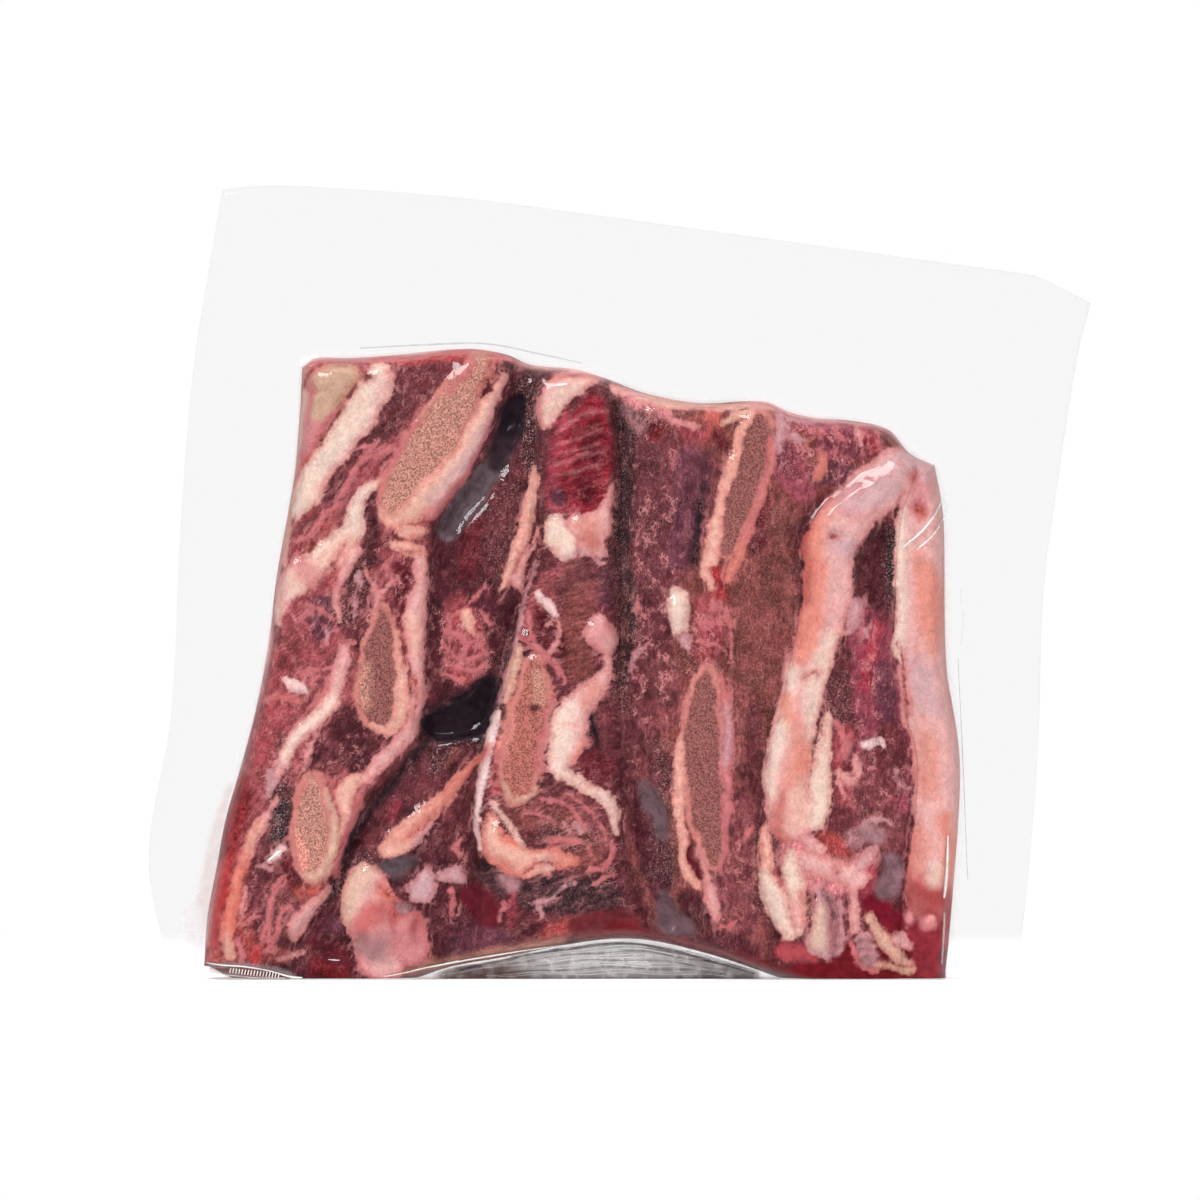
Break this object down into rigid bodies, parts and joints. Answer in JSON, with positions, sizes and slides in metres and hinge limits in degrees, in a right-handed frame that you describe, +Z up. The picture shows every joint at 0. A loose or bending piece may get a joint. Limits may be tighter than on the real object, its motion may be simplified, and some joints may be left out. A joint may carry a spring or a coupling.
{
  "type": "beef ribs pack",
  "caption": "Clear vacuum pouch drawn tight over a frozen block of cross-cut beef short ribs, standing on its lower edge.",
  "frame": {"origin": "middle of the underside of the pack's box, on the surface that it stands on", "axes": "+Z up along the pack's height, +X to the right seen from the show face, the show face looks to -Y"},
  "size_m": [0.294, 0.046, 0.2475],
  "materials": {
    "film": "gloss",
    "meat": "gloss"
  },
  "bodies": {
    "root": {"sealed_bag": "film"}
  },
  "joints": []
}
